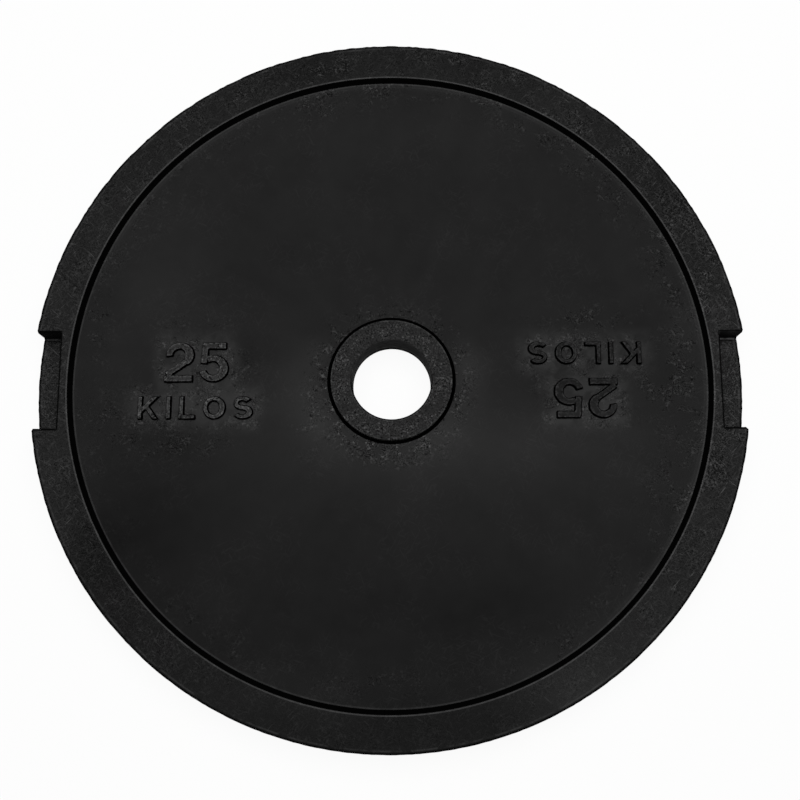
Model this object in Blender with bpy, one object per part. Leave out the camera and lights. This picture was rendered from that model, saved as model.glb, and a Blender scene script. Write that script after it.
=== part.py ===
"""Cast iron weight plate: a casting with raised rims and two grip pockets, and a hub bushing pressed into it.

Metres, +Z up. The plate lies on its back. The origin is on the axis of the bore, in the plane of the
back rim face. +Z points out of the front face, the side with the grip pockets, and +X to one pocket.
"""

import math

import bmesh
import bpy
from mathutils import Matrix

MM = 0.001

# The whole plate
PLATE_RADIUS = 225 * MM
PLATE_THICKNESS = 27 * MM
EDGE_ROUNDING = 1.5 * MM

# The raised rim, and the web sunk between rim and hub on both faces
RIM_INNER_RADIUS = 202.4 * MM
WEB_RECESS = 3 * MM
RIM_WALL_SLOPE = math.radians(60)
RIM_WALL_ROUNDING = 1.6 * MM

# The hub: a ring in a round seat, with an open groove where the two meet
BORE_RADIUS = 25.4 * MM
BORE_EDGE_ROUNDING = 0.8 * MM
HUB_RADIUS = 38.3 * MM
HUB_EDGE_ROUNDING = 0.4 * MM
SEAT_GAP = 0.3 * MM
SEAT_GROOVE_RADIUS = 40.5 * MM
SEAT_GROOVE_DEPTH = 2.2 * MM
SEAT_GROOVE_ROUNDING = 0.4 * MM

# The grip pockets, cut into the front of the rim on both sides
POCKET_INNER_WALL = 207.5 * MM
POCKET_LENGTH = 62.6 * MM
POCKET_DEPTH = 14.3 * MM
POCKET_FLOOR_FILLET = 2 * MM
POCKET_EDGE_BREAK = 0.4 * MM
POCKET_EDGE_ANGLE = math.radians(60)

# The black paint, in linear colour: a little greyer on the rough hub
CASTING_COLOR = (0.016, 0.016, 0.017)
CASTING_ROUGHNESS = 0.5
HUB_COLOR = (0.02, 0.02, 0.021)
HUB_ROUGHNESS = 0.55

# Facets
CASTING_STEPS = 128
BUSHING_STEPS = 64
ARC_STEP = math.radians(24)
SHARP_ANGLE = math.radians(40)
CUTTER_MARGIN = 10 * MM


def clear_scene():
    for obj in list(bpy.data.objects):
        bpy.data.objects.remove(obj, do_unlink=True)


def rounded_outline(corners):
    """The closed outline through corners of (x, y, rounding radius), with an arc in place of each corner."""
    outline = []
    for i, (x, y, radius) in enumerate(corners):
        if radius == 0:
            outline.append((x, y))
            continue
        before = corners[i - 1]
        after = corners[(i + 1) % len(corners)]
        to_before = math.atan2(before[1] - y, before[0] - x)
        to_after = math.atan2(after[1] - y, after[0] - x)
        opening = (to_after - to_before + math.pi) % (2 * math.pi) - math.pi
        bisector = to_before + opening / 2
        to_centre = radius / math.sin(abs(opening) / 2)
        centre_x = x + to_centre * math.cos(bisector)
        centre_y = y + to_centre * math.sin(bisector)
        turn = math.copysign(math.pi - abs(opening), -opening)
        start = to_before - math.copysign(math.pi / 2, opening)
        pieces = max(2, math.ceil(abs(turn) / ARC_STEP))
        for k in range(pieces + 1):
            angle = start + turn * k / pieces
            outline.append((centre_x + radius * math.cos(angle), centre_y + radius * math.sin(angle)))
    return outline


def new_object(name, bm):
    bmesh.ops.recalc_face_normals(bm, faces=bm.faces)
    mesh = bpy.data.meshes.new(name)
    bm.to_mesh(mesh)
    bm.free()
    obj = bpy.data.objects.new(name, mesh)
    bpy.context.scene.collection.objects.link(obj)
    return obj


def turned(name, corners, steps):
    """A ring: the outline of (radius, height, rounding) corners, spun once round the Z axis."""
    bm = bmesh.new()
    verts = [bm.verts.new((r, 0, z)) for r, z in rounded_outline(corners)]
    edges = [bm.edges.new((verts[i - 1], verts[i])) for i in range(len(verts))]
    bmesh.ops.spin(
        bm,
        geom=verts + edges,
        cent=(0, 0, 0),
        axis=(0, 0, 1),
        dvec=(0, 0, 0),
        angle=2 * math.pi,
        steps=steps,
        use_merge=True,
    )
    return new_object(name, bm)


def shade(obj, material):
    obj.data.materials.append(material)
    obj.data.shade_smooth()
    obj.data.set_sharp_from_angle(angle=SHARP_ANGLE)


def paint(name, base_color, roughness):
    material = bpy.data.materials.new(name)
    material.use_nodes = True
    shader = material.node_tree.nodes["Principled BSDF"]
    shader.inputs["Base Color"].default_value = (*base_color, 1)
    shader.inputs["Roughness"].default_value = roughness
    shader.inputs["Metallic"].default_value = 0
    return material


def casting_corners():
    """The front half of the casting's section, from the hub seat out to the edge."""
    web = PLATE_THICKNESS - WEB_RECESS
    wall_run = WEB_RECESS / math.tan(RIM_WALL_SLOPE)
    seat = HUB_RADIUS + SEAT_GAP
    return [
        (seat, web - SEAT_GROOVE_DEPTH, 0),
        (SEAT_GROOVE_RADIUS, web, SEAT_GROOVE_ROUNDING),
        (RIM_INNER_RADIUS - wall_run, web, RIM_WALL_ROUNDING),
        (RIM_INNER_RADIUS, PLATE_THICKNESS, RIM_WALL_ROUNDING),
        (PLATE_RADIUS, PLATE_THICKNESS, EDGE_ROUNDING),
    ]


def mirrored_to_back(corners):
    """The same corners on the back face, in the opposite order, so that the outline runs on."""
    return [(r, PLATE_THICKNESS - z, rounding) for r, z, rounding in reversed(corners)]


def pocket_cutter(side):
    """What is cut away for the pocket at +X or -X: an upright slot section run outwards from its inner wall."""
    half = POCKET_LENGTH / 2
    floor = PLATE_THICKNESS - POCKET_DEPTH
    top = PLATE_THICKNESS + CUTTER_MARGIN
    section = rounded_outline([
        (-half, top, 0),
        (-half, floor, POCKET_FLOOR_FILLET),
        (half, floor, POCKET_FLOOR_FILLET),
        (half, top, 0),
    ])
    bm = bmesh.new()
    face = bm.faces.new([bm.verts.new((POCKET_INNER_WALL, y, z)) for y, z in section])
    run_out = bmesh.ops.extrude_face_region(bm, geom=[face])["geom"]
    length = PLATE_RADIUS + CUTTER_MARGIN - POCKET_INNER_WALL
    moved = [item for item in run_out if isinstance(item, bmesh.types.BMVert)]
    bmesh.ops.translate(bm, verts=moved, vec=(length, 0, 0))
    if side < 0:
        bmesh.ops.rotate(bm, verts=bm.verts, cent=(0, 0, 0), matrix=Matrix.Rotation(math.pi, 3, "Z"))
    cutter = new_object("pocket_cutter_right" if side > 0 else "pocket_cutter_left", bm)
    cutter.hide_render = True
    cutter.display_type = "WIRE"
    return cutter


def make_plate_casting():
    """The grey iron body: rim, web and hub seat turned in one, then the grip pockets cut in."""
    front = casting_corners()
    casting = turned("plate_casting", front + mirrored_to_back(front), CASTING_STEPS)
    for side in (1, -1):
        cut = casting.modifiers.new("grip_pocket", "BOOLEAN")
        cut.operation = "DIFFERENCE"
        cut.solver = "EXACT"
        cut.object = pocket_cutter(side)
    edges = casting.modifiers.new("broken_edges", "BEVEL")
    edges.width = POCKET_EDGE_BREAK
    edges.segments = 1
    edges.limit_method = "ANGLE"
    edges.angle_limit = POCKET_EDGE_ANGLE
    shade(casting, paint("casting_paint", CASTING_COLOR, CASTING_ROUGHNESS))
    return casting


def make_hub_bushing():
    """The ring that takes the bar: its faces stand level with the rim faces on both sides."""
    bushing = turned(
        "hub_bushing",
        [
            (BORE_RADIUS, 0, BORE_EDGE_ROUNDING),
            (BORE_RADIUS, PLATE_THICKNESS, BORE_EDGE_ROUNDING),
            (HUB_RADIUS, PLATE_THICKNESS, HUB_EDGE_ROUNDING),
            (HUB_RADIUS, 0, HUB_EDGE_ROUNDING),
        ],
        BUSHING_STEPS,
    )
    shade(bushing, paint("hub_paint", HUB_COLOR, HUB_ROUGHNESS))
    return bushing


def main():
    clear_scene()
    make_plate_casting()
    make_hub_bushing()


main()
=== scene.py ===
import math

import bpy
import numpy as np
from mathutils import Matrix, Vector, noise
from mathutils.geometry import delaunay_2d_cdt


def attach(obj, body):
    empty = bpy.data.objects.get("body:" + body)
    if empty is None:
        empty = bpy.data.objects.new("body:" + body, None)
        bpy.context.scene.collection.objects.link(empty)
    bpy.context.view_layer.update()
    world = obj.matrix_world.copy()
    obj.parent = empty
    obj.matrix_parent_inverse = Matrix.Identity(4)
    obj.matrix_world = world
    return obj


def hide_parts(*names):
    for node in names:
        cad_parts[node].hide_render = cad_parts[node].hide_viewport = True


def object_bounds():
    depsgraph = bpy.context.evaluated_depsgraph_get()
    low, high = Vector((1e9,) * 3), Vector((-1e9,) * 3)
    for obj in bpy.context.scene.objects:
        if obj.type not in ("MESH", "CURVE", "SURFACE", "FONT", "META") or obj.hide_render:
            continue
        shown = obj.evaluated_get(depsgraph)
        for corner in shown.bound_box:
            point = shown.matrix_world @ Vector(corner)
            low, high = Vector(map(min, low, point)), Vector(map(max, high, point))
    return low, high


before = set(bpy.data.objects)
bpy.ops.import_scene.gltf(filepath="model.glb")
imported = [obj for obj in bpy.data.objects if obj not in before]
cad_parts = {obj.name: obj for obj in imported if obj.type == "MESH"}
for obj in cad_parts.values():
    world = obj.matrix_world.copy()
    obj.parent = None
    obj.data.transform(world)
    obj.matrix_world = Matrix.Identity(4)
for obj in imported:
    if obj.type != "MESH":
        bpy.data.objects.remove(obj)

# The looks of the cast iron weight plate: the frame's two nodes get their cast, painted and worn surface,
# the raised numbers, and a studio. Lengths are in millimetres until a mesh is written, and angles go
# counterclockwise from +X, unless a line says otherwise.

CAD_BOX = [list(corner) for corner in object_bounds()]
MM = 0.001

# The casting's section, close to the frame's, with the paint's thickness added at the plate's edge
PAINT_THICKNESS = 0.45
PLATE_RADIUS = round(CAD_BOX[1][0] / MM, 1) + PAINT_THICKNESS
THICKNESS = round(CAD_BOX[1][2] / MM, 1)
RIM_INNER_RADIUS = 202.5
WEB_HEIGHT = THICKNESS - 3.0
RIM_WALL_RUN = 2.55
SEAT_RADIUS = 38.6
SEAT_FIT_RADIUS = 38.33
SEAT_MOUTH_RADIUS = 40.5
SEAT_MOUTH_DEPTH = 2.2

# Roundings and chamfers of its edges; a chamfer is given as its run and its drop
OUTER_CHAMFER = (0.7, 0.55)
OUTER_ROUNDING = 0.2
RIM_WALL_ROUNDING = 0.35
SEAT_MOUTH_ROUNDING = 0.4
ARC_STEP = math.radians(12)
COARSE_ARC_STEP = math.radians(18)

# What the mould and the lathe left on the front: a lip round the hub seat, a faint step on the web that
# runs more than half way round, and a bead of paint along the rim's edge, as (radius, height, rounding)
SEAT_LIP = [(41.9, 24.10, 0.3), (43.2, 23.93, 0.3), (45.2, 24.07, 0.8), (48.5, 24.0, 1.0)]
WEB_STEP_RADIUS = 197.3
WEB_STEP_HEIGHT = 0.09
WEB_STEP_HALF_WIDTH = 0.45
WEB_STEP_MIDDLE = math.radians(55)
WEB_STEP_REACH = math.radians(112)
WEB_STEP_FULL = 0.8 * WEB_STEP_REACH
EDGE_BEAD = [(222.3, 27.0, 0), (223.0, 27.05, 0), (223.6, 27.0, 0)]
SMOOTH_EDGE_ANGLE = math.radians(40)

# The grip pockets. Their chamfer's values: its reach on the rim, its reach inside the wall, and its drop.
POCKET_INNER_WALL = 207.5
POCKET_HALF_LENGTH = 31.3
POCKET_DEPTH = 14.3
POCKET_FLOOR = THICKNESS - POCKET_DEPTH
POCKET_DRAFT_RUN = 0.3
POCKET_CHAMFER = (0.4, 0.9, 1.0)
POCKET_MOUTH_ROUNDING = 0.15
POCKET_FLOOR_FILLET = 1.6
POCKET_FLOOR_ROWS = (2.9, 3.3, 3.7, 4.1)
# The pockets' corners at the plate's edge, seen from the front: side across, side up, rounding
POCKET_CORNERS = [(1, -1, 1.5), (1, 1, 0.6), (-1, 1, 0.3), (-1, -1, 0.3)]

# The raised numbers and the unit word, once on each side of the hub, the right one turned half round
LETTER_HEIGHT = 2.3
LETTER_WALL_RUN = 0.6
LETTER_TOP_ROUNDING = 0.35
LETTER_FOOT_ROUNDING = 0.35
LETTER_CORNER = 0.45
# Each line: text, centre across and up in its block, height, width, stretch, and width of its strokes
LINES = [("25", 0.0, 14.6, 25.9, 40.7, 0.99, 4.9), ("KILOS", -0.3, -14.35, 14.9, 72.4, 1.27, 3.4)]
BLOCKS = [(-122.6, -3.0, 0.0), (122.3, 3.0, math.pi)]
BLOCK_HALF_SIZE = (40.0, 33.0)

# The hub bushing
BORE_RADIUS = 25.15
BORE_EDGE_ROUNDING = 0.3
BORE_CHAMFER = (0.55, 0.42)
BORE_CHAMFER_ROUNDINGS = (0.1, 0.15)
HUB_RADIUS = 38.3
HUB_EDGE_ROUNDING = 0.4
PIT_DEPTH = 0.26

# How the cast surface wanders: size of the waves, and how far they move a point along each axis, on the
# whole casting and, more, at the edges of letters and pockets
CASTING_WAVES = [
    (55, (0.05, 0.05, 0.12), (0, 0, 0)),
    (14, (0.02, 0.02, 0.035), (0, 0, 0)),
    (5, (0.01, 0.01, 0.015), (0.07, 0.07, 0.01)),
    (2.2, (0, 0, 0), (0.16, 0.16, 0.09)),
]
# The same for the hub: size and movement of the waves on all of it, and of those on its rough faces
HUB_WAVE = (9, 0.05)
HUB_ROUGH_WAVE = (2.4, 0.07)
PIT_SIZES = (1.9, 0.8)
# How far two seeds stand apart
NOISE_SHIFT = (17.3, 5.1, 9.7)

# Mesh density: columns are points round a ring, and rings inside DENSE_RADIUS have those of the seat. A room
# is the gap that loose points keep, that of the rings in their own spacing.
RIM_COLUMNS = 600
SEAT_COLUMNS = 240
BACK_COLUMNS = 300
HUB_COLUMNS = 512
DENSE_RADIUS = 100
EDGE_COLUMN_ROOM = 0.2
EDGE_ROWS = 9
SEAT_ROWS = 6
HUB_SPACING = 0.42
HUB_COARSE_SPACING = 3 * HUB_SPACING
FILL_SPACING = 2.7
BACK_FILL_SPACING = 5.5
RING_ROOM = 0.4
LETTER_SPACING = 0.34
SLOPE_STEP = 0.01
ROW_ERROR = 0.05
LETTER_FILL_SPACING = 1.0
LETTER_FILL_ROOM = 0.5
LETTER_MARGIN = 3.2
POCKET_ROW_SPACING = 0.9
POCKET_FILL_ROOM = (1.2, 0.8)
MERGE = 1e-4
TINY = 1e-9
CLOSE = 1e-3
FAR = 1e3
# Past either end of a section over distance
BEYOND = 30

# How upright the normal is on a steep and on a flat surface
STEEP = (0.80, 0.97)

# The paint: greys in linear colour, how strongly it reflects, and how deep its grain is
WEB_GREY = 0.0114
# Scale of the painted sheen and shade in soft spots and beside the web's step
SHEEN_SHADE_GREY = 0.010
# The darkest grey: painted shade on steep walls, the plate's edge and the bore
WALL_SHADE_GREY = 0.0008
POCKET_LIGHT_GREY = 0.030
PAINT_SPECULAR = 0.026
RIM_WALL_SPECULAR = 0.004
CASTING_GRAIN = 0.06
HUB_GRAIN = 0.16

# Where fine lines of light or shade run round the plate, and one height of light in the bore
RIM_LINE_RADIUS = 203.08
FOOT_LINE_RADIUS = 199.35
EDGE_LINE_RADIUS = 223.15
HUB_LINE_RADIUS = 37.8
BORE_LINE_RADIUS = 26.35
BORE_SHADE_RADIUS = 25.5
BORE_LIGHT_HEIGHT = 7.6

# How much the painted sheen lightens the ring beside the web's step
STEP_SHEEN = 0.6
# Painted sheen and shade in soft lighter and darker spots: centre, reach both ways, and strength
SPOTS = [
    (0, -36, 150, 24, 0.55),
    (10, -62, 60, 22, 0.25),
    (-108, -6, 26, 11, 0.4),
    (-92, 14, 10, 12, -0.4),
    (-138, -38, 30, 16, -0.45),
    (-58, -6, 16, 24, 0.9),
    (128, -28, 30, 20, 0.3),
    (86, -46, 24, 22, 0.5),
    (104, 4, 24, 12, -0.3),
    (30, -34, 24, 18, 0.95),
    (50, 2, 12, 18, 0.9),
    (-50, 4, 9, 18, 0.3),
    (-34, -40, 20, 16, 0.4),
    (124, 20, 30, 14, 0.1),
    (152, 30, 16, 18, -0.35),
    (188, 34, 12, 22, 0.45),
    (-150, 50, 30, 40, 0.5),
    (-190, 10, 20, 30, 0.15),
    (-140, 110, 30, 34, 0.25),
    (10, 172, 120, 24, 0.3),
    (0, -184, 100, 16, 0.05),
    (0, -214, 190, 26, -0.15),
    (-60, -190, 40, 24, 0.35),
    (80, -178, 20, 14, 0.2),
    (200, -100, 26, 70, 0.4),
    (214, 40, 14, 110, 0.2),
    (150, -60, 30, 30, 0.2),
    (150, 80, 30, 60, 0.12),
    (0, 70, 70, 20, -0.12),
    (0, -152, 170, 48, -0.15),
    (-165, -92, 40, 34, -0.5),
    (40, -140, 50, 24, -0.3),
    (116, -194, 32, 26, 1.2),
    (160, -150, 24, 24, 0.35),
    (208, 8, 8, 44, 0.45),
    (-207, 4, 8, 34, 0.45),
    (-205, -88, 22, 34, 0.35),
    (-46, -26, 10, 12, 1.0),
    (46, 14, 8, 12, 0.45),
    (-112, -16, 34, 7, 0.55),
    (-106, 8, 12, 12, 0.4),
    (4, -54, 22, 9, 0.1),
    (-46, 16, 12, 12, 0.4),
    (-192, 112, 18, 40, 0.15),
    (-58, 206, 26, 12, -0.2),
    (184, 128, 20, 30, -0.25),
    (-214, 56, 10, 16, 0.35),
    (-212, -57, 10, 16, 0.35),
    (-180, -104, 12, 20, -0.25),
    (140, -172, 34, 34, 0.4),
    (202, -54, 10, 14, -0.35),
    (106, 184, 16, 14, 0.3),
]

# Where the web is freckled, in soft spots: centre, reach both ways, and strength
FRECKLES = [
    (178, 96, 14, 34, 1.1),
    (187, 6, 11, 60, 0.95),
    (150, 128, 22, 18, 0.8),
    (100, 166, 24, 11, 0.8),
    (-188, 40, 11, 40, 0.6),
    (-174, -25, 14, 20, 0.6),
    (-95, 14, 9, 12, 1.0),
    (-90, -10, 10, 8, 1.0),
    (-128, -40, 30, 9, 0.8),
    (-125, 38, 30, 8, 0.4),
    (126, 39, 30, 9, 0.8),
    (93, 8, 12, 14, 0.9),
    (168, -4, 12, 24, 1.0),
    (172, -75, 16, 26, 0.7),
    (-52, -24, 9, 20, 0.8),
    (4, -46, 28, 7, 1.0),
    (104, -164, 30, 12, 0.6),
    (-10, -185, 44, 9, 0.4),
]

# Glyphs in units of their height: the width, then bars (start, end, share of the stroke's width) and bows
# (centre, radii, from, to)
GLYPHS = {
    "2": (0.744, [((0.585, 0.543), (0.06, 0.178), 0.93), ((0.0, 0.095), (0.72, 0.095), 1.0)],
          [((0.376, 0.68), (0.246, 0.225), 191, -53)]),
    "5": (0.74, [((0.09, 0.905), (0.685, 0.905), 1.0), ((0.165, 0.95), (0.13, 0.45), 0.97)],
          [((0.356, 0.345), (0.2625, 0.25), 128, -169)]),
    "K": (0.74, [((0.115, 0.0), (0.115, 1.0), 1.0), ((0.12, 0.34), (0.72, 1.10), 1.0),
                 ((0.30, 0.60), (0.70, -0.12), 1.0)], []),
    "I": (0.18, [((0.09, 0.0), (0.09, 1.0), 1.0)], []),
    "L": (0.58, [((0.115, 0.0), (0.115, 1.0), 1.0), ((0.0, 0.1), (0.58, 0.1), 1.0)], []),
    "O": (0.76, [], [((0.38, 0.5), (0.28, 0.385), 0, 360)]),
    "S": (0.68, [((0.29, 0.5), (0.39, 0.5), 1.0)],
          [((0.34, 0.6925), (0.215, 0.192), 22, 270), ((0.34, 0.3075), (0.235, 0.192), 90, -158)]),
}
# How much a bow swells on its right side
BOW_SWELL = 0.28
BOW_PIECES = 40


# Sections and distances

def rounded_line(corners, arc_step=ARC_STEP):
    """The distances and heights of an open line of (distance, height, rounding) corners.

    An arc stands in place of each inner corner that has a rounding."""
    line = [corners[0][:2]]
    for before, (x, y, radius), after in zip(corners, corners[1:], corners[2:]):
        if radius == 0:
            line.append((x, y))
            continue
        into = math.atan2(y - before[1], x - before[0])
        out = math.atan2(after[1] - y, after[0] - x)
        turn = (out - into + math.pi) % (2 * math.pi) - math.pi
        pieces = max(2, math.ceil(abs(turn) / arc_step))
        cut = radius * math.tan(abs(turn) / 2)
        side = math.copysign(1, turn)
        start_x, start_y = x - cut * math.cos(into), y - cut * math.sin(into)
        centre_x = start_x - side * radius * math.sin(into)
        centre_y = start_y + side * radius * math.cos(into)
        for k in range(pieces + 1):
            heading = into + turn * k / pieces
            across, down = side * radius * math.sin(heading), side * radius * math.cos(heading)
            line.append((centre_x + across, centre_y - down))
    line.append(corners[-1][:2])
    return np.array(line).T


def round_corner(s, t, radius):
    """The two distances s and t met at a corner of the given radius."""
    s, t = s + radius, t + radius
    return np.hypot(np.maximum(s, 0), np.maximum(t, 0)) + np.minimum(np.maximum(s, t), 0) - radius


def bar_distance(u, v, start, end, width):
    """The distance to a straight stroke with square ends, below zero inside it."""
    along = np.subtract(end, start)
    length = math.hypot(*along)
    along = along / length
    du, dv = u - (start[0] + end[0]) / 2, v - (start[1] + end[1]) / 2
    return round_corner(
        abs(du * along[0] + dv * along[1]) - length / 2,
        abs(dv * along[0] - du * along[1]) - width / 2,
        LETTER_CORNER,
    )


def bow_distance(u, v, centre, radii, start, end, width):
    """The distance to a curved stroke, part of an ellipse from one angle to another, with square ends."""
    angles = np.radians(np.linspace(start, end, BOW_PIECES + 1))
    px, py = centre[0] + radii[0] * np.cos(angles), centre[1] + radii[1] * np.sin(angles)
    half = width / 2 * (1 + BOW_SWELL * np.maximum(np.cos(angles), 0) ** 2)
    band = np.full(u.shape, np.inf)
    for k in range(BOW_PIECES):
        dx, dy = px[k + 1] - px[k], py[k + 1] - py[k]
        share = np.clip(((u - px[k]) * dx + (v - py[k]) * dy) / (dx * dx + dy * dy), 0, 1)
        away = np.hypot(u - px[k] - share * dx, v - py[k] - share * dy)
        band = np.minimum(band, away - half[k] - share * (half[k + 1] - half[k]))
    if abs(end - start) < 360:
        for tip, inner in ((0, 1), (-1, -2)):
            dx, dy = px[tip] - px[inner], py[tip] - py[inner]
            past = ((u - px[tip]) * dx + (v - py[tip]) * dy) / math.hypot(dx, dy)
            near = np.hypot(u - px[tip], v - py[tip]) < width
            band = np.where(near, round_corner(past, band, LETTER_CORNER), band)
    return band


def box_distance(u, v, half_width, half_height):
    """The distance to a plain box round the origin, 0 inside it."""
    return np.hypot(np.maximum(abs(u) - half_width, 0), np.maximum(abs(v) - half_height, 0))


def block_distance(u, v):
    """The distance to the nearest letter of a block, from points in the block's own directions."""
    nearest = np.full(u.shape, FAR)
    for text, line_u, line_v, height, width, stretch, stroke in LINES:
        widths = [GLYPHS[c][0] * height * stretch for c in text]
        gap = (width - sum(widths)) / (len(text) - 1)
        scale = np.array([height * stretch, height])
        left = line_u - width / 2
        for c, glyph_width in zip(text, widths):
            _, bars, bows = GLYPHS[c]
            origin = np.array([left, line_v - height / 2])
            glyph = np.full(u.shape, FAR)
            for start, end, weight in bars:
                part = bar_distance(u, v, origin + scale * start, origin + scale * end, stroke * weight)
                glyph = np.minimum(glyph, part)
            for centre, radii, first, last in bows:
                part = bow_distance(u, v, origin + scale * centre, scale * radii, first, last, stroke)
                glyph = np.minimum(glyph, part)
            glyph = np.maximum(glyph, abs(v - line_v) - height / 2)
            nearest = np.minimum(nearest, glyph)
            left += glyph_width + gap
    return nearest


def to_block(x, y, centre_x, centre_y, turn):
    """Points of the plate in a block's own directions, from its centre."""
    c, s = math.cos(turn), math.sin(turn)
    return (x - centre_x) * c + (y - centre_y) * s, (y - centre_y) * c - (x - centre_x) * s


def from_block(u, v, centre_x, centre_y, turn):
    """Points in a block's own directions, on the plate."""
    c, s = math.cos(turn), math.sin(turn)
    return np.stack([centre_x + u * c - v * s, centre_y + u * s + v * c], 1)


def letter_distance(x, y):
    """The distance to the nearest letter of either block, or to a block's box for points far from it."""
    nearest = np.full(x.shape, FAR)
    for block in BLOCKS:
        u, v = to_block(x, y, *block)
        distance = box_distance(u, v, *BLOCK_HALF_SIZE)
        inside = distance == 0
        distance += LETTER_MARGIN
        distance[inside] = block_distance(u[inside], v[inside])
        nearest = np.minimum(nearest, distance)
    return nearest


def line_distance(x, y):
    """The distance to the nearest line of text, taken as a plain box."""
    nearest = np.full(x.shape, FAR)
    for block in BLOCKS:
        u, v = to_block(x, y, *block)
        for _, line_u, line_v, height, width, _, _ in LINES:
            nearest = np.minimum(nearest, box_distance(u - line_u, v - line_v, width / 2, height / 2))
    return nearest


def pocket_distance(x, y):
    """How far a point is inside a grip pocket's outline seen from the front, below zero outside it."""
    along, across = abs(x) - POCKET_INNER_WALL, POCKET_HALF_LENGTH - abs(y)
    outside = np.hypot(np.minimum(along, 0), np.minimum(across, 0))
    return np.where(outside > 0, -outside, np.minimum(along, across))


SEAT_MOUTH = [
    (SEAT_RADIUS, WEB_HEIGHT - SEAT_MOUTH_DEPTH, 0),
    (SEAT_MOUTH_RADIUS, WEB_HEIGHT, SEAT_MOUTH_ROUNDING),
]
RIM_WALL = [
    (RIM_INNER_RADIUS - RIM_WALL_RUN, WEB_HEIGHT, RIM_WALL_ROUNDING),
    (RIM_INNER_RADIUS, THICKNESS, RIM_WALL_ROUNDING),
]
# The last corner stays out of the meshes: it only gives the edge's own corner a line to follow
OUTER_EDGE = [
    (PLATE_RADIUS - OUTER_CHAMFER[0], THICKNESS, OUTER_ROUNDING),
    (PLATE_RADIUS, THICKNESS - OUTER_CHAMFER[1], 0),
    (PLATE_RADIUS + 1e-6, THICKNESS - 2 * OUTER_CHAMFER[1], 0),
]
FRONT_LINE = rounded_line(SEAT_MOUTH + SEAT_LIP + RIM_WALL + EDGE_BEAD + OUTER_EDGE)
BACK_LINE = rounded_line(SEAT_MOUTH + RIM_WALL + OUTER_EDGE)
# The next two lines give the height over the distance from the letters, and into the pockets
LETTER_LINE = rounded_line(
    [
        (-BEYOND, LETTER_HEIGHT, 0),
        (-LETTER_WALL_RUN, LETTER_HEIGHT, LETTER_TOP_ROUNDING),
        (0, 0, LETTER_FOOT_ROUNDING),
        (BEYOND, 0, 0),
    ],
    COARSE_ARC_STEP,
)
POCKET_LINE = rounded_line(
    [
        (-BEYOND, 0, 0),
        (-POCKET_CHAMFER[0], 0, POCKET_MOUTH_ROUNDING),
        (POCKET_CHAMFER[1], -POCKET_CHAMFER[2], POCKET_MOUTH_ROUNDING),
        (POCKET_CHAMFER[1] + POCKET_DRAFT_RUN, -POCKET_DEPTH, POCKET_FLOOR_FILLET),
        *((inset, -POCKET_DEPTH, 0) for inset in POCKET_FLOOR_ROWS),
        (BEYOND, -POCKET_DEPTH, 0),
    ],
    COARSE_ARC_STEP,
)


def smooth_step(value, low, high):
    """0 below low, 1 above high, and a soft change in between."""
    share = np.clip((value - low) / (high - low), 0, 1)
    return share * share * (3 - 2 * share)


def ridge(value, middle, width):
    """1 at the middle, fading to 0 on both sides."""
    return np.exp(-((value - middle) / width) ** 2)


def beside_step(x, y):
    """1 where the web has its step, fading to 0 past both of its ends."""
    angle = (np.arctan2(y, x) - WEB_STEP_MIDDLE + math.pi) % (2 * math.pi) - math.pi
    return 1 - smooth_step(abs(angle), WEB_STEP_FULL, WEB_STEP_REACH)


def front_surface(x, y):
    """The height of the front at points (x, y): the turned section, the web's step, letters and pockets."""
    radius = np.hypot(x, y)
    height = np.interp(radius, *FRONT_LINE)
    step = smooth_step(radius, WEB_STEP_RADIUS - WEB_STEP_HALF_WIDTH, WEB_STEP_RADIUS + WEB_STEP_HALF_WIDTH)
    back_down = 1 - smooth_step(radius, WEB_STEP_RADIUS + 1, RIM_INNER_RADIUS - RIM_WALL_RUN)
    height = height + WEB_STEP_HEIGHT * step * back_down * beside_step(x, y)
    height = height + np.interp(letter_distance(x, y), *LETTER_LINE)
    return height + np.interp(pocket_distance(x, y), *POCKET_LINE)


def back_surface(x, y):
    """The height of the back, which has only the turned section."""
    return THICKNESS - np.interp(np.hypot(x, y), *BACK_LINE)


# Points of the casting's meshes, seen from the front

def pocket_path(inset):
    """One side's pocket outline moved in by inset, from its start on the plate's edge to its end there."""
    wall, half = POCKET_INNER_WALL + inset, POCKET_HALF_LENGTH - inset
    tip = math.sqrt(PLATE_RADIUS ** 2 - half ** 2)
    upper = [(tip, half), (wall, half)]
    if inset < 0:
        turns = np.radians([90, 112.5, 135, 157.5, 180])
        bend_x, bend_y = POCKET_INNER_WALL - inset * np.cos(turns), POCKET_HALF_LENGTH - inset * np.sin(turns)
        upper = [(tip, half), *zip(bend_x, bend_y)]
    corners = upper + [(x, -y) for x, y in reversed(upper)]
    path = [corners[0]]
    for (ax, ay), (bx, by) in zip(corners, corners[1:]):
        pieces = max(1, round(math.hypot(bx - ax, by - ay) / POCKET_ROW_SPACING))
        path += [(ax + (bx - ax) * k / pieces, ay + (by - ay) * k / pieces) for k in range(1, pieces + 1)]
    return path


def edge_angles():
    """Where the columns of the plate's edge stand: evenly, and at each end of a pocket's rows."""
    even = [2 * math.pi * k / RIM_COLUMNS for k in range(RIM_COLUMNS)]
    ends = []
    for inset in POCKET_LINE[0][1:-1]:
        tip = math.asin((POCKET_HALF_LENGTH - inset) / PLATE_RADIUS)
        ends += [tip, math.pi - tip, math.pi + tip, 2 * math.pi - tip]
    apart = [a for a in even if min(abs(a - e) for e in ends) > EDGE_COLUMN_ROOM / PLATE_RADIUS]
    return np.array(sorted(apart + ends))


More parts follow.
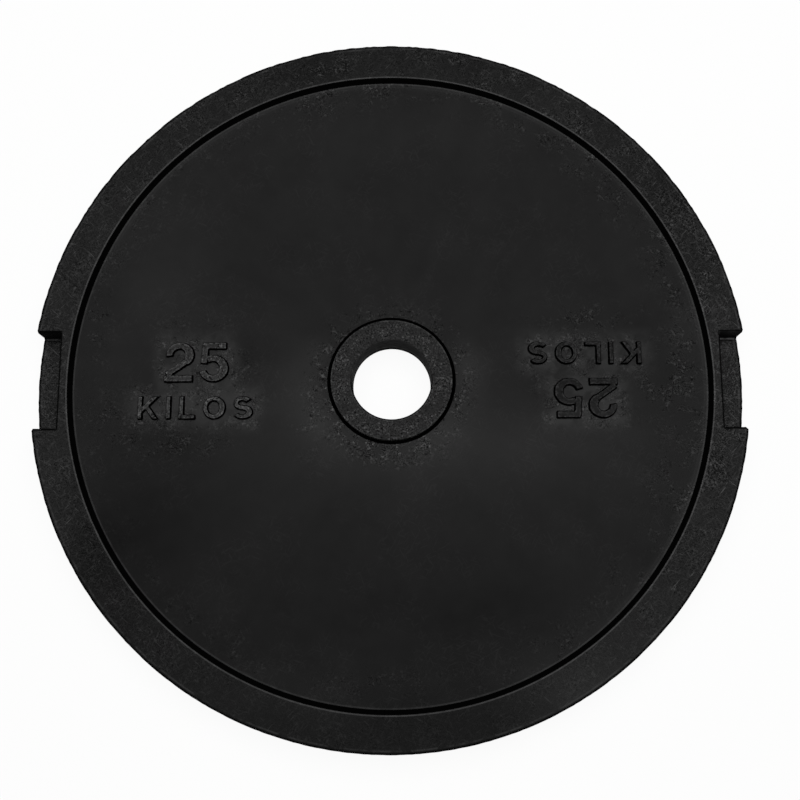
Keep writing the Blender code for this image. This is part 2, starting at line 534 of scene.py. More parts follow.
def thinned(points, spacing):
    """The points without those that stand closer than spacing to one that was kept."""
    kept, cells = [], {}
    for index, (x, y) in enumerate(points):
        cell = (int(x // spacing), int(y // spacing))
        near = [p for i in (-1, 0, 1) for j in (-1, 0, 1) for p in cells.get((cell[0] + i, cell[1] + j), [])]
        if all(math.hypot(x - px, y - py) >= spacing for px, py in near):
            cells.setdefault(cell, []).append((x, y))
            kept.append(index)
    return points[kept]


def slope(points):
    """The direction away from the letters of a block at each point, and the distance to them."""
    u, v = points.T
    du = block_distance(u + SLOPE_STEP, v) - block_distance(u - SLOPE_STEP, v)
    dv = block_distance(u, v + SLOPE_STEP) - block_distance(u, v - SLOPE_STEP)
    away = np.stack([du, dv], 1) / np.maximum(np.hypot(du, dv), TINY)[:, None]
    return away, block_distance(u, v)


def crossings(u, v, field, here, there):
    """Where the field passes zero between the grid's neighbours here and there."""
    crossing = (field[here] < 0) != (field[there] < 0)
    share = field[here][crossing] / (field[here][crossing] - field[there][crossing])
    return np.stack([a[here][crossing] + share * (a[there] - a[here])[crossing] for a in (u, v)], 1)


def letter_rows():
    """Points in rows that follow every letter of a block, from its top face down its wall to the web."""
    middle = -LETTER_WALL_RUN / 2
    half_u, half_v = BLOCK_HALF_SIZE
    spacing = LETTER_SPACING * 1.2
    u, v = np.meshgrid(np.arange(-half_u, half_u, spacing), np.arange(-half_v, half_v, spacing))
    field = block_distance(u, v) - middle
    every, lower, upper = slice(None), slice(0, -1), slice(1, None)
    base = np.concatenate([
        crossings(u, v, field, (every, lower), (every, upper)),
        crossings(u, v, field, (lower, every), (upper, every)),
    ])
    for _ in range(2):
        away, distance = slope(base)
        base = base - away * (distance - middle)[:, None]
    base = thinned(base, LETTER_SPACING)
    away, _ = slope(base)
    rows = []
    for level in LETTER_LINE[0][1:-1]:
        row = base + away * (level - middle)
        right = abs(block_distance(*row.T) - level) < ROW_ERROR
        rows.append(thinned(row[right], LETTER_SPACING * 0.4))
    return np.concatenate(rows)


def hex_grid(spacing, half_width, half_height, centre_x=0.0, centre_y=0.0):
    """Points of a box, in rows that are shifted by half a step every second time."""
    xs = np.arange(centre_x - half_width, centre_x + half_width, spacing)
    ys = np.arange(centre_y - half_height, centre_y + half_height, spacing * math.sqrt(3) / 2)
    x, y = np.meshgrid(xs, ys)
    x[1::2] += spacing / 2
    return np.stack([x.ravel(), y.ravel()], 1)


def plate_fill(spacing, rings):
    """Loose points between the seat and the edge that keep away from the rings."""
    points = hex_grid(spacing, PLATE_RADIUS, PLATE_RADIUS)
    radius = np.hypot(*points.T)
    gap = np.min(abs(radius[:, None] - np.array(rings)[None, :]), axis=1)
    inside = (radius > min(rings)) & (radius < max(rings))
    return points[inside & (gap > spacing * RING_ROOM)]


def closed_row(points):
    return [(k, (k + 1) % len(points)) for k in range(len(points))]


def open_row(points):
    return [(k, k + 1) for k in range(len(points) - 1)]


def ring(radius, angles):
    return np.stack([radius * np.cos(angles), radius * np.sin(angles)], 1)


def even_angles(count):
    return np.arange(count) * 2 * math.pi / count


class Sheet:
    """A triangulated sheet between the seat's circle and the plate's edge, from rows and loose points."""

    def __init__(self):
        self.points, self.edges, self.count = [], [], 0

    def add(self, points, edges=()):
        """Takes points and the edges between them, and returns the points' numbers in the sheet."""
        first = self.count
        self.points.append(np.asarray(points, float))
        self.edges += [(a + first, b + first) for a, b in edges]
        self.count += len(points)
        return list(range(first, self.count))

    def add_rings(self, radii, columns):
        """A row of points at each radius. Returns the first, round the seat, and the last, on the edge."""
        rows = []
        for radius in radii:
            angles = even_angles(SEAT_COLUMNS if radius < DENSE_RADIUS else columns)
            if radius == PLATE_RADIUS:
                angles = edge_angles()
            points = ring(radius, angles)
            rows.append(self.add(points, closed_row(points)))
        return rows[0], rows[-1]

    def triangulate(self, inner, outer):
        """The sheet's points, triangles, and the inner and outer loops as the triangles number them."""
        given = np.concatenate(self.points)
        verts, _, faces, origins, _, _ = delaunay_2d_cdt([Vector(p) for p in given], self.edges, [], 0, MERGE)
        renumber = {}
        for new, olds in enumerate(origins):
            for old in olds:
                renumber[old] = new
        inner, outer = [renumber[i] for i in inner], [renumber[i] for i in outer]
        hole, edge = set(inner), set(outer)
        faces = [list(f) for f in faces if not hole.issuperset(f) and not edge.issuperset(f)]
        return np.array([tuple(v) for v in verts]), faces, inner, outer


def front_sheet():
    """Rings, rows along the pockets' and letters' walls, and loose points between them."""
    sheet = Sheet()
    step = WEB_STEP_RADIUS + WEB_STEP_HALF_WIDTH * np.linspace(-1, 1, 5)
    rings = sorted([*FRONT_LINE[0][:-1], *step])
    inner, outer = sheet.add_rings(rings, RIM_COLUMNS)
    for inset in POCKET_LINE[0][1:-1]:
        path = np.array(pocket_path(inset))
        for side in (1, -1):
            sheet.add(path * side, open_row(path))
    rows = letter_rows()
    for block in BLOCKS:
        sheet.add(from_block(*rows.T, *block))
        fine = hex_grid(LETTER_FILL_SPACING, *BLOCK_HALF_SIZE, *block[:2])
        away = letter_distance(*fine.T)
        on_top = away < LETTER_LINE[0][1] - LETTER_FILL_ROOM
        around = (away > LETTER_LINE[0][-2] + LETTER_FILL_ROOM) & (away < LETTER_MARGIN)
        sheet.add(fine[on_top | around])
    fill = plate_fill(FILL_SPACING, rings)
    far = letter_distance(*fill.T) >= LETTER_MARGIN
    pocket = pocket_distance(*fill.T)
    off_walls = (pocket < -POCKET_FILL_ROOM[0]) | (pocket > POCKET_LINE[0][-2] + POCKET_FILL_ROOM[1])
    sheet.add(fill[far & off_walls])
    return sheet.triangulate(inner, outer)


def back_sheet():
    """Rings and loose points."""
    sheet = Sheet()
    rings = BACK_LINE[0][:-1]
    inner, outer = sheet.add_rings(rings, BACK_COLUMNS)
    sheet.add(plate_fill(BACK_FILL_SPACING, rings))
    return sheet.triangulate(inner, outer)


def wall_between(points, upper, lower, rows, outward):
    """New points and quads that join two loops, with the points listed after those given."""
    first, columns = len(points), len(upper)
    levels, made = [list(upper)], []
    for row in range(1, rows):
        share = row / rows
        levels.append([first + len(made) + k for k in range(columns)])
        made += [tuple(points[a] * (1 - share) + points[b] * share) for a, b in zip(upper, lower)]
    levels.append(list(lower))
    faces = []
    for above, below in zip(levels, levels[1:]):
        for k in range(columns):
            n = (k + 1) % columns
            quad = [below[k], below[n], above[n], above[k]]
            faces.append(quad if outward else quad[::-1])
    return np.array(made), faces


def noisy(points, size, seed):
    """A smooth random vector at each point, between -1 and 1, that changes over the given size."""
    noise.seed_set(seed)
    shift = Vector([seed * step for step in NOISE_SHIFT])
    return np.array([noise.noise_vector(Vector(p) / size + shift)[:] for p in points])


def casting_points(points, letters):
    """The cast surface: it waves a little, and more so at the letters and pockets, whose edges wander too."""
    mouth = abs(pocket_distance(*points[:, :2].T) - 0.5)
    at_mouth = (1 - smooth_step(mouth, 1.0, 2.5)) * (points[:, 2] > THICKNESS - 3)
    near = np.maximum(1 - smooth_step(letters, 1.0, LETTER_MARGIN), 0.7 * at_mouth)[:, None]
    move = np.zeros(points.shape)
    for seed, (size, everywhere, at_edges) in enumerate(CASTING_WAVES, 1):
        move += noisy(points, size, seed) * (everywhere + near * at_edges)
    free = smooth_step(np.hypot(*points[:, :2].T), SEAT_RADIUS + 0.2, SEAT_RADIUS + 8)
    return points + move * free[:, None]


def rounded_corners(points):
    """The points, with the pockets' corners at the plate's edge rounded off above the pocket's floor."""
    radius = np.hypot(*points[:, :2].T)
    above_floor = smooth_step(points[:, 2], POCKET_FLOOR + 0.5, POCKET_FLOOR + 2.5)
    moved = points.copy()
    for side_x, side_y, rounding in POCKET_CORNERS:
        out = radius - PLATE_RADIUS + rounding
        past = POCKET_HALF_LENGTH - points[:, 1] * side_y + rounding
        length = np.hypot(out, past)
        corner = (points[:, 0] * side_x > 0) & (points[:, 1] * side_y > 0) & (out > 0) & (past > 0)
        corner &= (length > rounding) & (past < rounding + 1)
        pull = np.where(corner, rounding / np.maximum(length, TINY) - 1, 0) * above_floor
        moved[:, 0] += out * pull * points[:, 0] / radius
        moved[:, 1] += out * pull * points[:, 1] / radius - past * pull * side_y
    return moved


def new_object(name, data):
    obj = bpy.data.objects.new(name, data)
    bpy.context.scene.collection.objects.link(obj)
    return obj


def new_piece(name, points, faces, attributes, open_wall=0.0):
    """A mesh object with the given values at its points.

    The value "wall" is added: 1 where the surface is steep and not part of an open wall. The casting's paint
    darkens it as painted shade."""
    mesh = bpy.data.meshes.new(name)
    mesh.from_pydata((points * MM).tolist(), [], faces)
    normals = np.empty(len(points) * 3, np.float32)
    mesh.vertex_normals.foreach_get("vector", normals)
    steep = 1 - smooth_step(abs(normals[2::3]), *STEEP)
    for label, values in {**attributes, "wall": steep * (1 - open_wall)}.items():
        layer = mesh.attributes.new(label, "FLOAT", "POINT")
        layer.data.foreach_set("value", np.asarray(values, np.float32))
    mesh.shade_smooth()
    mesh.set_sharp_from_angle(angle=SMOOTH_EDGE_ANGLE)
    return new_object(name, mesh)


def make_casting():
    """The front and back sheets, joined by walls at the plate's edge and in the hub's seat."""
    flat, faces, inner, outer = front_sheet()
    flat_back, faces_back, inner_back, outer_back = back_sheet()
    first = len(flat)
    points = np.concatenate([
        np.column_stack([flat, front_surface(*flat.T)]),
        np.column_stack([flat_back, back_surface(*flat_back.T)]),
    ])
    faces += [[i + first for i in reversed(f)] for f in faces_back]
    inner_back, outer_back = [i + first for i in inner_back], [i + first for i in outer_back]
    edge_start = len(points)
    edge, edge_faces = wall_between(points, outer, outer_back, EDGE_ROWS, True)
    points = np.concatenate([points, edge])
    edge_end = len(points)
    seat, seat_faces = wall_between(points, inner, inner_back, SEAT_ROWS, False)
    seat[:, :2] *= SEAT_FIT_RADIUS / SEAT_RADIUS
    points = rounded_corners(np.concatenate([points, seat]))
    faces += edge_faces + seat_faces
    letters = np.full(len(points), FAR)
    letters[:first] = letter_distance(*flat.T)
    on_outside = np.zeros(len(points))
    on_outside[edge_start:edge_end] = 1
    attributes = casting_attributes(points, letters, on_outside)
    return new_piece("casting", casting_points(points, letters), faces, attributes, on_outside)


def casting_attributes(points, letters, on_outside):
    """What the casting's paint needs to know at each point, mostly from 0 to 1.

    The tops of the text on the left are the lighter ones, a painted highlight, and painted sheen and freckles
    lie round both."""
    x, y, z = points.T
    on_front = z > THICKNESS / 2
    on_right = x > 0
    in_pocket = (pocket_distance(x, y) > 0.5) & (z > THICKNESS / 3)
    raised = (letters < -0.3) & (z > WEB_HEIGHT)
    around = (1 - smooth_step(line_distance(x, y), -2, 12)) * on_front
    worn_lit_edges = ridge(letters, -0.9, 0.5) * (z > WEB_HEIGHT)
    return {
        # Worn letter edges, with a painted highlight that is stronger on the left
        "wear_and_highlight": worn_lit_edges * np.where(on_right, 0.5, 1.0),
        # Letter tops, lighter on the left as a painted highlight
        "raised": raised * np.where(on_right, 0.25, 1.0),
        # Painted sheen round the lines of text, which also carries freckles
        "near_letters": around * np.where(on_right, np.where(raised, 0.1, 1.3), 1.12),
        # Painted sheen and shade: soft spots, the ring beside the step, and darker letter tops on the right
        "sheen_and_shade": sheen_and_shade(points) - 0.6 * (raised & on_right),
        "freckles": soft_spots(points, FRECKLES) * (letters > 0),
        "pocket_light": pocket_light(points),
        # Painted shade along the plate's edge
        "edge": smooth_step(np.hypot(x, y), 223.75, 224.35) * (1 - on_outside),
        "pocket": in_pocket,
    }


def soft_spots(points, spots):
    """The sum of the soft spots at each point of the front."""
    x, y, z = points.T
    total = np.zeros(len(points))
    for across, up, reach_x, reach_y, strength in spots:
        total += strength * np.exp(-((x - across) / reach_x) ** 2 - ((y - up) / reach_y) ** 2)
    return total * (z > THICKNESS / 2)


def sheen_and_shade(points):
    """Painted sheen and shade on the front's flat faces: soft lighter and darker spots, and the ring beside
    the step.
    """
    x, y, z = points.T
    radius = np.hypot(x, y)
    beside = smooth_step(radius, WEB_STEP_RADIUS - 0.7, WEB_STEP_RADIUS) * (radius < RIM_INNER_RADIUS)
    return soft_spots(points, SPOTS) + STEP_SHEEN * beside * beside_step(x, y) * (z > THICKNESS / 2)


def pocket_light(points):
    """How much lighter the grip pockets are: on their floors, and on the right one's upper end.

    Along the foot of the upper ends a line of light has a line of shade beside it."""
    x, y, z = points.T
    from_end = POCKET_HALF_LENGTH - y
    in_pocket = (abs(x) > POCKET_INNER_WALL + 0.5) & (abs(y) < POCKET_HALF_LENGTH) & (z > THICKNESS / 3)
    on_floor = in_pocket & (z < POCKET_FLOOR + 0.8)
    on_right_end = in_pocket & (from_end < 2) & (x > 0)
    line = ridge(from_end, 2.2, 0.4) * np.where(x > 0, 5.0, 1.2)
    shade = 0.8 * ridge(from_end, 3.4, 0.4)
    return on_floor * (0.1 + line - shade) + on_right_end * 0.55 * smooth_step(z, 17, 26)


def make_hub():
    """The ring in the middle: a rough cast face with pits, round a bore that was turned smooth."""
    r, z = rounded_line([
        (HUB_RADIUS, THICKNESS / 2, 0),
        (HUB_RADIUS, 0, HUB_EDGE_ROUNDING),
        (BORE_RADIUS, 0, BORE_EDGE_ROUNDING),
        (BORE_RADIUS, THICKNESS - BORE_CHAMFER[1], BORE_CHAMFER_ROUNDINGS[0]),
        (BORE_RADIUS + BORE_CHAMFER[0], THICKNESS, BORE_CHAMFER_ROUNDINGS[1]),
        (HUB_RADIUS, THICKNESS, HUB_EDGE_ROUNDING),
        (HUB_RADIUS, THICKNESS / 2, 0),
    ])
    line = []
    for k in range(len(r) - 1):
        on_front = min(z[k], z[k + 1]) > THICKNESS - CLOSE
        spacing = HUB_SPACING if on_front else HUB_COARSE_SPACING
        pieces = max(1, round(math.hypot(r[k + 1] - r[k], z[k + 1] - z[k]) / spacing))
        line += [[a[k] + (a[k + 1] - a[k]) * i / pieces for a in (r, z)] for i in range(pieces)]
    r, z = np.array(line).T
    angles = even_angles(HUB_COLUMNS)[:, None]
    points = np.stack([r * np.cos(angles), r * np.sin(angles), z + 0 * angles], 2).reshape(-1, 3)
    rows = len(r)
    faces = []
    for k in range(HUB_COLUMNS):
        here, there = k * rows, (k + 1) % HUB_COLUMNS * rows
        for i in range(rows):
            n = (i + 1) % rows
            faces.append([here + i, here + n, there + n, there + i])
    radius = np.hypot(*points[:, :2].T)
    cast = smooth_step(radius, BORE_RADIUS, BORE_RADIUS + 0.2)
    rough = smooth_step(radius, BORE_RADIUS + 0.4, BORE_RADIUS + 1.6)
    points = points + noisy(points, HUB_WAVE[0], seed=5) * HUB_WAVE[1]
    points += noisy(points, HUB_ROUGH_WAVE[0], seed=6) * HUB_ROUGH_WAVE[1] * rough[:, None]
    points[:, 2] -= pits(points) * rough * np.sign(points[:, 2] - THICKNESS / 2)
    return new_piece("hub", points, faces, {"cast": cast})


def pits(points):
    """The depth of the small pits that gas and sand left in the face, at each point."""
    coarse, fine = (noisy(points, size, seed)[:, 0] for size, seed in zip(PIT_SIZES, (7, 8)))
    return PIT_DEPTH * smooth_step(coarse + 0.35 * fine, 0.28, 0.75)


# Materials

def add_node(tree, kind, inputs=None, **settings):
    """A new node with its settings and inputs."""
    made = tree.nodes.new(kind)
    for key, value in settings.items():
        setattr(made, key, value)
    for key, value in (inputs or {}).items():
        set_input(tree, made.inputs[key], value)
    return made


def set_input(tree, socket, value):
    """Links the socket to another node's output, or sets a plain value."""
    if isinstance(value, bpy.types.NodeSocket):
        tree.links.new(value, socket)
    else:
        socket.default_value = value


class Shader:
    """A material's nodes, made one by one and linked as they are made."""

    def __init__(self, name):
        self.material = bpy.data.materials.new(name)
        self.material.use_nodes = True
        self.tree = self.material.node_tree
        self.place = self.node("ShaderNodeTexCoord").outputs["Object"]
        point = self.node("ShaderNodeVectorMath", {0: self.place, 1: (1 / MM,) * 3}, operation="MULTIPLY")
        apart = self.node("ShaderNodeSeparateXYZ", {0: point.outputs[0]})
        self.across, self.upward, self.height = apart.outputs
        flat = self.node("ShaderNodeVectorMath", {0: point.outputs[0], 1: (1, 1, 0)}, operation="MULTIPLY")
        length = self.node("ShaderNodeVectorMath", {0: flat.outputs[0]}, operation="LENGTH")
        self.radius = length.outputs["Value"]

    def node(self, kind, inputs=None, **settings):
        return add_node(self.tree, kind, inputs, **settings)

    def attribute(self, name):
        return self.node("ShaderNodeAttribute", attribute_name=name).outputs["Fac"]

    def math(self, operation, *values):
        return self.node("ShaderNodeMath", dict(enumerate(values)), operation=operation).outputs[0]

    def times(self, first, *others):
        """The product of the values."""
        for other in others:
            first = self.math("MULTIPLY", first, other)
        return first

    def highest(self, first, *others):
        """The highest of the values."""
        for other in others:
            first = self.math("MAXIMUM", first, other)
        return first

    def rest(self, value):
        """What is left of 1."""
        return self.math("SUBTRACT", 1.0, value)

    def total(self, first, *terms):
        """The first value plus each term, a product of the values in it."""
        for value, share, *factors in terms:
            first = self.math("MULTIPLY_ADD", self.times(value, *factors), share, first)
        return first

    def ramp(self, value, low, high, to_low=0.0, to_high=1.0):
        """Runs straight from to_low where the value is low to to_high where it is high."""
        return self.node("ShaderNodeMapRange", {
            "Value": value, "From Min": low, "From Max": high, "To Min": to_low, "To Max": to_high,
        }).outputs["Result"]

    def band(self, distance, middle, half, soft):
        """1 where the distance is near the middle, 0 elsewhere."""
        off = self.math("ABSOLUTE", self.math("SUBTRACT", distance, middle))
        return self.ramp(off, half, half + soft, 1, 0)

    def noise(self, size_mm, detail=2.0, rough=0.5, place=None):
        return self.node("ShaderNodeTexNoise", {
            "Vector": place or self.place, "Scale": 1 / (size_mm * MM), "Detail": detail, "Roughness": rough,
        }).outputs["Fac"]

    def spots(self, size_mm, low, high, detail=2.0, rough=0.5, least=0.0, most=1.0):
        """Soft spots of a noise: least where it is low, most where it is high."""
        return self.ramp(self.noise(size_mm, detail, rough), low, high, least, most)

    def swing(self, size_mm, detail=2.0, rough=0.5):
        """A noise stretched to run from -1 to 1."""
        return self.spots(size_mm, 0.3, 0.7, detail, rough, -1)

    def streaks(self, turn, length_mm, width_mm, low, high):
        """Short straight marks in one direction."""
        place = self.node("ShaderNodeMapping", {
            "Vector": self.place, "Rotation": (0, 0, turn), "Scale": (length_mm, width_mm, 1),
        }, vector_type="TEXTURE").outputs[0]
        return self.ramp(self.noise(1, 1, 0.5, place), low, high)

    def veins(self, size_mm, width):
        """Thin curved marks, where a noise passes its middle."""
        off = self.math("ABSOLUTE", self.math("SUBTRACT", self.noise(size_mm, 1), 0.5))
        return self.ramp(off, 0, width, 1, 0)

    def finish(self, color, roughness, specular, bump):
        """Greys: one value for red, green and blue. The bump is a height from 0 to 1 and its size in mm."""
        height, size_mm = bump
        normal = self.node("ShaderNodeBump", {"Height": height, "Distance": size_mm * MM, "Strength": 1.0})
        sockets = self.tree.nodes["Principled BSDF"].inputs
        set_input(self.tree, sockets["Base Color"], color)
        set_input(self.tree, sockets["Roughness"], roughness)
        set_input(self.tree, sockets["Specular IOR Level"], specular)
        set_input(self.tree, sockets["Normal"], normal.outputs[0])
        return self.material


def grey(value):
    return (value, value, value, 1)


def scratches(s):
    """Short scratches in four directions, and a few thin curved ones."""
    straight = [s.streaks(turn, 9, 1.2, 0.63, 0.70) for turn in (0.5, 1.1, 2.0, 2.8)]
    curved = s.times(s.veins(6, 0.018), s.spots(7, 0.54, 0.6, 1))
    return s.highest(*straight, curved)


def casting_paint():
    """Black paint with a dry sheen: scratched and freckled on the rim, smooth on the web."""
    s = Shader("cast_black_paint")
    names = ("wall", "edge", "near_letters", "pocket", "raised")
    wall, edge, near, pocket, raised = (s.attribute(name) for name in names)
    off_edge = s.rest(edge)

    # Places: the rim, the web round the hub and along the foot of the rim's wall, and the more worn side
    on_rim = s.ramp(s.radius, RIM_INNER_RADIUS - 0.3, RIM_INNER_RADIUS + 0.2)
    below_hub = s.math("ADD", s.ramp(s.upward, -50, 60, 1.6, 0.35), s.ramp(s.across, -60, -30, 0.3, 0))
    at_hub = s.times(s.ramp(s.radius, 42, 58, 1, 0), below_hub)
    at_foot = s.times(
        s.ramp(s.radius, 172, 198, 0, 1.1),
        s.ramp(s.across, -170, -90, 0.45, 1),
        s.ramp(s.upward, -200, -100, 0.15, 1),
    )
    worn_side = s.times(
        s.ramp(s.upward, -200, -60, 0.35, 1),
        s.ramp(s.upward, 90, 190, 1, 0.55),
        s.ramp(s.across, 100, 210, 1, 1.35),
    )

    # Patterns, from large to small
    blotch, mottle, drift = s.swing(45, 3), s.swing(13, 3), s.swing(24)
    clouds = s.spots(30, 0.45, 0.60)
    patches = s.spots(11, 0.44, 0.58, 3, 0.6)
    marks = scratches(s)
    bold = s.highest(*(s.streaks(turn, 12, 0.8, 0.71, 0.76) for turn in (0.8, 2.4)))
    light_dapples, dark_dapples = s.spots(1.9, 0.56, 0.70), s.spots(2.1, 0.42, 0.29)
    light_specks, dark_specks = s.spots(1.2, 0.60, 0.74, 1), s.spots(1.3, 0.36, 0.24, 1)
    fine = s.swing(0.8, 2, 0.6)
    spotty = s.highest(near, s.times(at_foot, s.ramp(clouds, 0, 1, 0.3, 1)), s.attribute("freckles"))
    hub_patches = s.times(at_hub, s.spots(8, 0.42, 0.56, 3, 0.6))

    # Each term: what it lies on, how much it adds to the grey, and what else it is multiplied by
    value = s.total(
        WEB_GREY,
        (blotch, 0.0010),
        (mottle, 0.0009),
        (drift, 0.0008),
        # Painted sheen and shade
        (s.attribute("sheen_and_shade"), SHEEN_SHADE_GREY),
        # Painted sheen round the text
        (near, 0.0138, s.spots(9, 0.38, 0.56, least=0.3)),
        (on_rim, -0.0005),
        (on_rim, -0.0018, s.ramp(s.upward, 40, 170)),
        (on_rim, 0.0070, fine, worn_side),
        (on_rim, 0.018, marks, worn_side, s.ramp(patches, 0, 1, 0.6, 1)),
        (on_rim, 0.045, bold, worn_side),
        (on_rim, 0.024, light_specks, worn_side, s.ramp(patches, 0, 1, 0.35, 1)),
        (on_rim, -0.008, dark_specks, worn_side),
        (pocket, 0.010, fine),
        (pocket, 0.020, light_specks),
        (pocket, -0.008, dark_specks),
        (spotty, 0.021, fine, patches),
        (spotty, 0.042, light_dapples, patches),
        (spotty, -0.023, dark_dapples, patches),
        (hub_patches, 0.028, fine),
        (hub_patches, 0.058, light_dapples),
        (hub_patches, -0.032, dark_dapples),
        (clouds, 0.005, marks, s.rest(on_rim)),
        (s.band(s.radius, RIM_LINE_RADIUS, 0.2, 0.35), 0.052, s.spots(4, 0.3, 0.6, 3, 0.6, least=0.5)),
        (s.band(s.radius, FOOT_LINE_RADIUS, 0.2, 0.4), 0.022, s.spots(6, 0.35, 0.6, 3, 0.6, least=0.4)),
        (s.band(s.radius, EDGE_LINE_RADIUS, 0.3, 0.4), 0.020, s.spots(9, 0.42, 0.58, 3, 0.6)),
        # Worn letter edges with a painted highlight
        (s.attribute("wear_and_highlight"), 0.060, s.spots(1.6, 0.42, 0.62, 3, 0.6)),
        # Letter tops with a painted highlight
        (raised, 0.012, fine),
        (raised, 0.045, light_dapples),
        (raised, -0.016, dark_dapples),
    )
    # Painted shade: steep walls and the plate's edge go dark, down to the darkest grey
    value = s.highest(s.times(value, s.rest(s.highest(wall, edge))), WALL_SHADE_GREY)
    uneven = s.spots(4, 0.4, 0.6, 1, least=0.5)
    value = s.total(value, (s.attribute("pocket_light"), POCKET_LIGHT_GREY, off_edge, uneven))
    value = s.highest(value, WALL_SHADE_GREY)

    # Walls outside the rim's own are matte, and the rim's wall hardly reflects
    matte = s.highest(s.times(wall, s.ramp(s.radius, 205.0, 206.5)), edge)
    rough = s.total(0.35, (s.noise(8, 4, 0.6), 0.05), (dark_specks, 0.2, s.highest(on_rim, spotty)))
    rough = s.highest(rough, s.times(matte, 0.95))
    rim_wall = s.times(wall, s.ramp(s.radius, 203.5, 204.5, 1, 0))
    specular = s.total(PAINT_SPECULAR, (rim_wall, RIM_WALL_SPECULAR - PAINT_SPECULAR))

    uneven_rim = s.ramp(worn_side, 0, 1, 0.3, 1)
    relief = s.total(0.06, (on_rim, 0.9, uneven_rim), (spotty, 0.9, patches))
    relief = s.times(s.noise(1.1, 3, 0.6), relief, off_edge)
    return s.finish(value, rough, specular, (relief, CASTING_GRAIN))


def hub_paint():
    """The same paint on a rougher casting: freckled and pitted on the faces, plain in the bore."""
    s = Shader("hub_black_paint")
    cast = s.attribute("cast")
    in_bore = s.rest(cast)
    below = s.ramp(s.upward, -4, 6, 1, 0)
    blotch, fine = s.swing(7, 3, 0.6), s.swing(1.0, 2, 0.7)
    light_specks, dark_specks = s.spots(1.4, 0.56, 0.71), s.spots(1.7, 0.43, 0.30)
    patches = s.spots(7, 0.40, 0.58, least=0.3)
    bore_light = s.band(s.height, BORE_LIGHT_HEIGHT, 1.0, 0.8)
    value = s.total(
        WEB_GREY,
        (cast, 0.0085),
        (cast, 0.005, blotch),
        (cast, 0.032, fine, patches),
        (cast, 0.068, light_specks, patches),
        (cast, -0.032, dark_specks, patches),
        (s.band(s.radius, HUB_LINE_RADIUS, 0.2, 0.3), 0.03, s.spots(5, 0.4, 0.6)),
        (s.band(s.radius, BORE_LINE_RADIUS, 0.15, 0.3), 0.022, s.spots(4, 0.4, 0.6), below),
        (in_bore, 0.023, s.spots(3, 0.3, 0.7, least=0.4, most=1.6), s.ramp(s.height, 4, 24, 0.6, 1.2)),
        (in_bore, 0.045, bore_light, s.spots(5, 0.4, 0.55, least=0.2)),
    )
    top_shade = s.times(s.band(s.radius, BORE_SHADE_RADIUS, 0.25, 0.15), below)
    shade = s.highest(top_shade, s.times(in_bore, s.ramp(s.height, 4.6, 5.6, 1, 0)))
    value = s.highest(s.times(value, s.rest(shade)), WALL_SHADE_GREY)
    rough = s.total(0.90, (cast, -0.52), (cast, 0.3, dark_specks), (shade, 0.5))
    grain = s.times(s.noise(0.9, 4, 0.65), s.ramp(cast, 0, 1, 0.1, 1))
    return s.finish(value, rough, PAINT_SPECULAR, (grain, HUB_GRAIN))


# The studio, in metres, with levels where 1 is white

FLOOR_SIZE = 30.0
FLOOR_GREY = 0.8
FLOOR_WHITE = 1.03
FLOOR_LIFT = 0.9
WORLD_LEVEL = 0.05
WORLD_WHITE = 1.0
LAMP_PLACE = (0.05, 0.27, 1.30)
LAMP_SIZE = (1.5, 1.1)
LAMP_WATTS = 17.0

CAMERA_PLACE = (0.0070, -0.1118, 0.6345)
CAMERA_TARGET = (0.01374, -0.01152, 0.027)
CAMERA_ROLL = 0.00405
CAMERA_LENS = 44.325
CAMERA_SHIFT = (-0.0169, -0.0030)
SENSOR = 36.0


def seen_as_background(tree):
    """1 for a ray of the camera, a reflection or a view through glass, 0 for light on the object."""
    rays = add_node(tree, "ShaderNodeLightPath").outputs
    seen = rays["Is Camera Ray"]
    for kind in ("Is Glossy Ray", "Is Transmission Ray"):
        seen = add_node(tree, "ShaderNodeMath", {0: seen, 1: rays[kind]}, operation="MAXIMUM").outputs[0]
    return seen


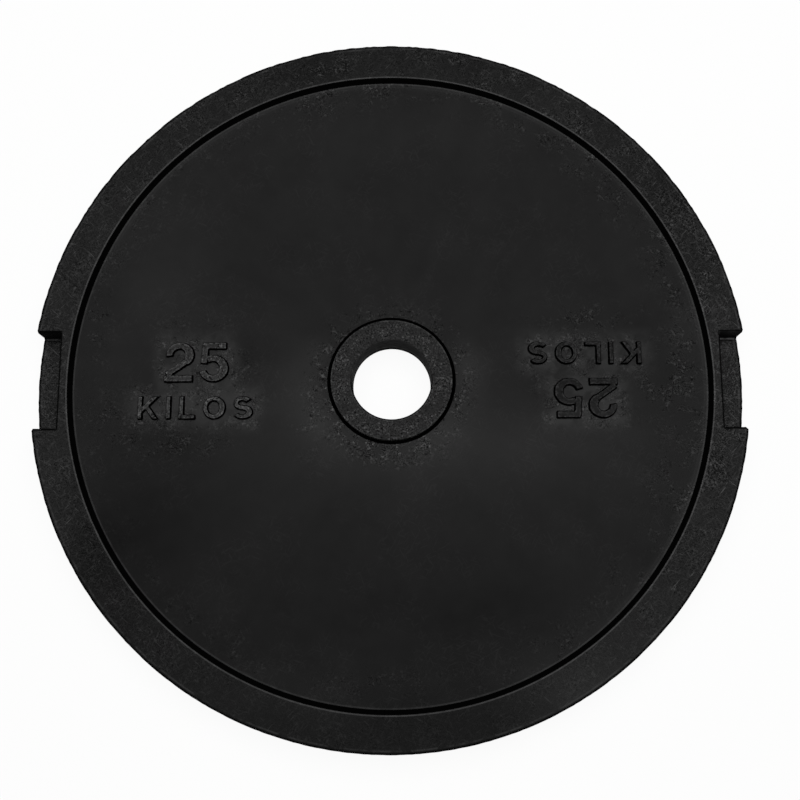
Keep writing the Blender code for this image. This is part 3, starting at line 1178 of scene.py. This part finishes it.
def make_floor():
    """A pale floor under the plate. The camera and reflections see it lifted most of the way to white."""
    bpy.ops.mesh.primitive_plane_add(size=FLOOR_SIZE)
    floor = bpy.context.object
    floor.name = "floor"
    material = bpy.data.materials.new("pale_floor")
    material.use_nodes = True
    tree = material.node_tree
    tree.nodes.remove(tree.nodes["Principled BSDF"])
    diffuse = add_node(tree, "ShaderNodeBsdfDiffuse", {"Color": grey(FLOOR_GREY)})
    white = add_node(tree, "ShaderNodeEmission", {"Strength": FLOOR_WHITE})
    seen = seen_as_background(tree)
    lift = add_node(tree, "ShaderNodeMath", {0: seen, 1: FLOOR_LIFT}, operation="MULTIPLY").outputs[0]
    both = add_node(tree, "ShaderNodeMixShader", {0: lift, 1: diffuse.outputs[0], 2: white.outputs[0]})
    tree.links.new(both.outputs[0], tree.nodes["Material Output"].inputs["Surface"])
    floor.data.materials.append(material)


def make_light():
    """One big soft lamp, and a dim world that the camera and reflections see as plain white."""
    world = bpy.data.worlds.new("studio")
    bpy.context.scene.world = world
    world.use_nodes = True
    tree = world.node_tree
    level = add_node(tree, "ShaderNodeMapRange", {
        "Value": seen_as_background(tree), "To Min": WORLD_LEVEL, "To Max": WORLD_WHITE,
    })
    background = tree.nodes["Background"]
    background.inputs["Color"].default_value = grey(1.0)
    tree.links.new(level.outputs[0], background.inputs["Strength"])
    lamp = bpy.data.lights.new("soft_box", "AREA")
    lamp.shape = "RECTANGLE"
    lamp.size, lamp.size_y = LAMP_SIZE
    lamp.energy = LAMP_WATTS
    obj = new_object("soft_box", lamp)
    obj.location = LAMP_PLACE
    obj.rotation_euler = Vector(LAMP_PLACE).to_track_quat("Z", "Y").to_euler()


def make_camera():
    """The camera that sees the plate's circles where the photograph has them."""
    data = bpy.data.cameras.new("camera")
    data.sensor_width = SENSOR
    data.lens = CAMERA_LENS
    data.shift_x, data.shift_y = CAMERA_SHIFT
    camera = new_object("camera", data)
    forward = (Vector(CAMERA_TARGET) - Vector(CAMERA_PLACE)).normalized()
    right = forward.cross(Vector((0, 1, 0))).normalized()
    right = Matrix.Rotation(CAMERA_ROLL, 3, forward) @ right
    up = right.cross(forward)
    camera.matrix_world = Matrix((right, up, -forward)).transposed().to_4x4()
    camera.location = CAMERA_PLACE
    bpy.context.scene.camera = camera


casting = make_casting()
casting.data.materials.append(casting_paint())
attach(casting, "root")
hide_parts("plate_casting")

hub = make_hub()
hub.data.materials.append(hub_paint())
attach(hub, "root")
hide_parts("hub_bushing")

make_floor()
make_light()
make_camera()
bpy.context.scene.view_settings.view_transform = "Standard"
